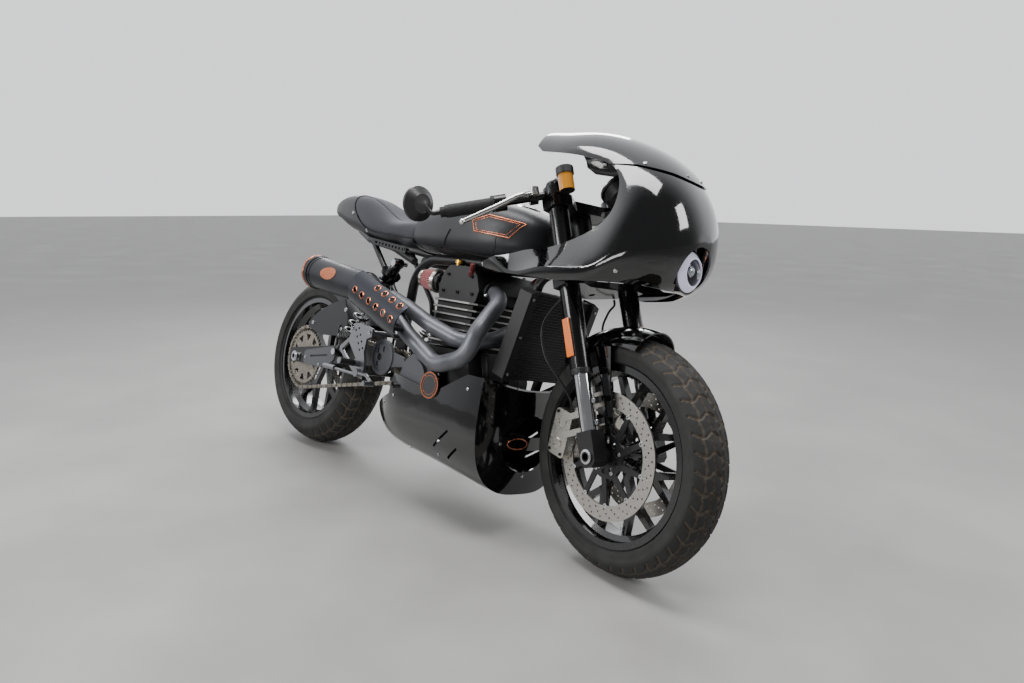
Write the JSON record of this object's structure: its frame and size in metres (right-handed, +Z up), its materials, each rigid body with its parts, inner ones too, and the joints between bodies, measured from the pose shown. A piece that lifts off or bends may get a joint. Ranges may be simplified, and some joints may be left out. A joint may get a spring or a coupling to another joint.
{
  "type": "cafe racer motorcycle",
  "caption": "Motorcycle with a full front fairing, clip-on bars, a humped seat and a finned twin engine, leaning on its side stand.",
  "frame": {"origin": "on the ground under the middle of the box around the parked motorcycle", "axes": "+X to the front, +Y to the rider's left, +Z up; the motorcycle leans to the left on its side stand"},
  "size_m": [2.0268, 0.9099, 1.112],
  "materials": {
    "gloss_black_shell": "gloss",
    "satin_black_tank": "satin",
    "satin_black_metal": "satin",
    "gloss_black_wheel": "gloss",
    "tyre_rubber": "matt",
    "disc_steel": "brushed",
    "chain_steel": "satin",
    "calliper_metal": "satin",
    "black_engine": "satin",
    "grey_cover": "satin",
    "radiator_metal": "matt",
    "dark_exhaust": "matt",
    "seat_suede": "matt",
    "grip_rubber": "matt",
    "hose_rubber": "satin",
    "lever_metal": "polished",
    "amber_plastic": "gloss",
    "rose_filter": "matt",
    "mirror_black": "satin",
    "lamp_glass": "gloss"
  },
  "bodies": {
    "chassis": {"air_filters": "rose_filter", "belly_pan": "gloss_black_shell", "crankcase": "black_engine", "cylinder_block": "black_engine", "cylinder_head": "black_engine", "drive_chain": "chain_steel", "drive_sprocket": "chain_steel", "engine_covers": "grey_cover", "fairing": "gloss_black_shell", "footrests": "satin_black_metal", "frame_backbone": "satin_black_metal", "frame_cradle": "satin_black_metal", "fuel_tank": "satin_black_tank", "head_tube": "satin_black_metal", "header_pipes": "dark_exhaust", "headlight": "lamp_glass", "instruments": "satin_black_metal", "muffler": "dark_exhaust", "muffler_guard": "dark_exhaust", "radiator": "radiator_metal", "rear_axle": "chain_steel", "rear_calliper": "calliper_metal", "rear_hugger": "satin_black_metal", "rear_shocks": "satin_black_metal", "seat": "seat_suede", "seat_rail": "satin_black_metal", "sprocket_cover": "grey_cover", "swingarm": "grey_cover", "tail_cowl": "gloss_black_shell", "throttle_bodies": "black_engine", "windscreen": "gloss_black_shell"},
    "steering": {"fork_tubes": "satin_black_metal", "fork_feet": "satin_black_metal", "upper_yoke": "satin_black_metal", "lower_yoke": "satin_black_metal", "front_axle": "chain_steel", "front_fender": "gloss_black_shell", "front_callipers": "calliper_metal", "clip_on_bars": "satin_black_metal", "grips": "grip_rubber", "control_levers": "lever_metal", "brake_reservoir": "amber_plastic", "bar_end_mirrors": "mirror_black", "fork_reflectors": "amber_plastic", "brake_hoses": "hose_rubber"},
    "front_wheel": {"front_rim": "gloss_black_wheel", "front_tyre": "tyre_rubber", "front_discs": "disc_steel"},
    "rear_wheel": {"rear_rim": "gloss_black_wheel", "rear_tyre": "tyre_rubber", "rear_disc": "disc_steel", "rear_sprocket": "chain_steel"},
    "side_stand": {"side_stand": "satin_black_metal"}
  },
  "joints": [
    {"name": "steering", "type": "hinge", "parent": "chassis", "child": "steering", "pos_m": [0.68763, -0.15698, 0.28405], "axis": [-0.3885, 0.2074, 0.8978], "range_deg": [-15.5, 34.5]},
    {"name": "front_wheel", "type": "hinge", "parent": "steering", "child": "front_wheel", "pos_m": [0.71621, -0.15933, 0.29696], "axis": [0.1523, 0.9754, -0.1594], "continuous": true},
    {"name": "rear_wheel", "type": "hinge", "parent": "chassis", "child": "rear_wheel", "pos_m": [-0.69841, -0.15086, 0.30903], "axis": [0.0002, 0.9744, -0.225], "continuous": true},
    {"name": "side_stand", "type": "hinge", "parent": "chassis", "child": "side_stand", "pos_m": [-0.19581, -0.05006, 0.22165], "axis": [0.0851, 0.8216, 0.5637], "range_deg": [0, 92]}
  ]
}
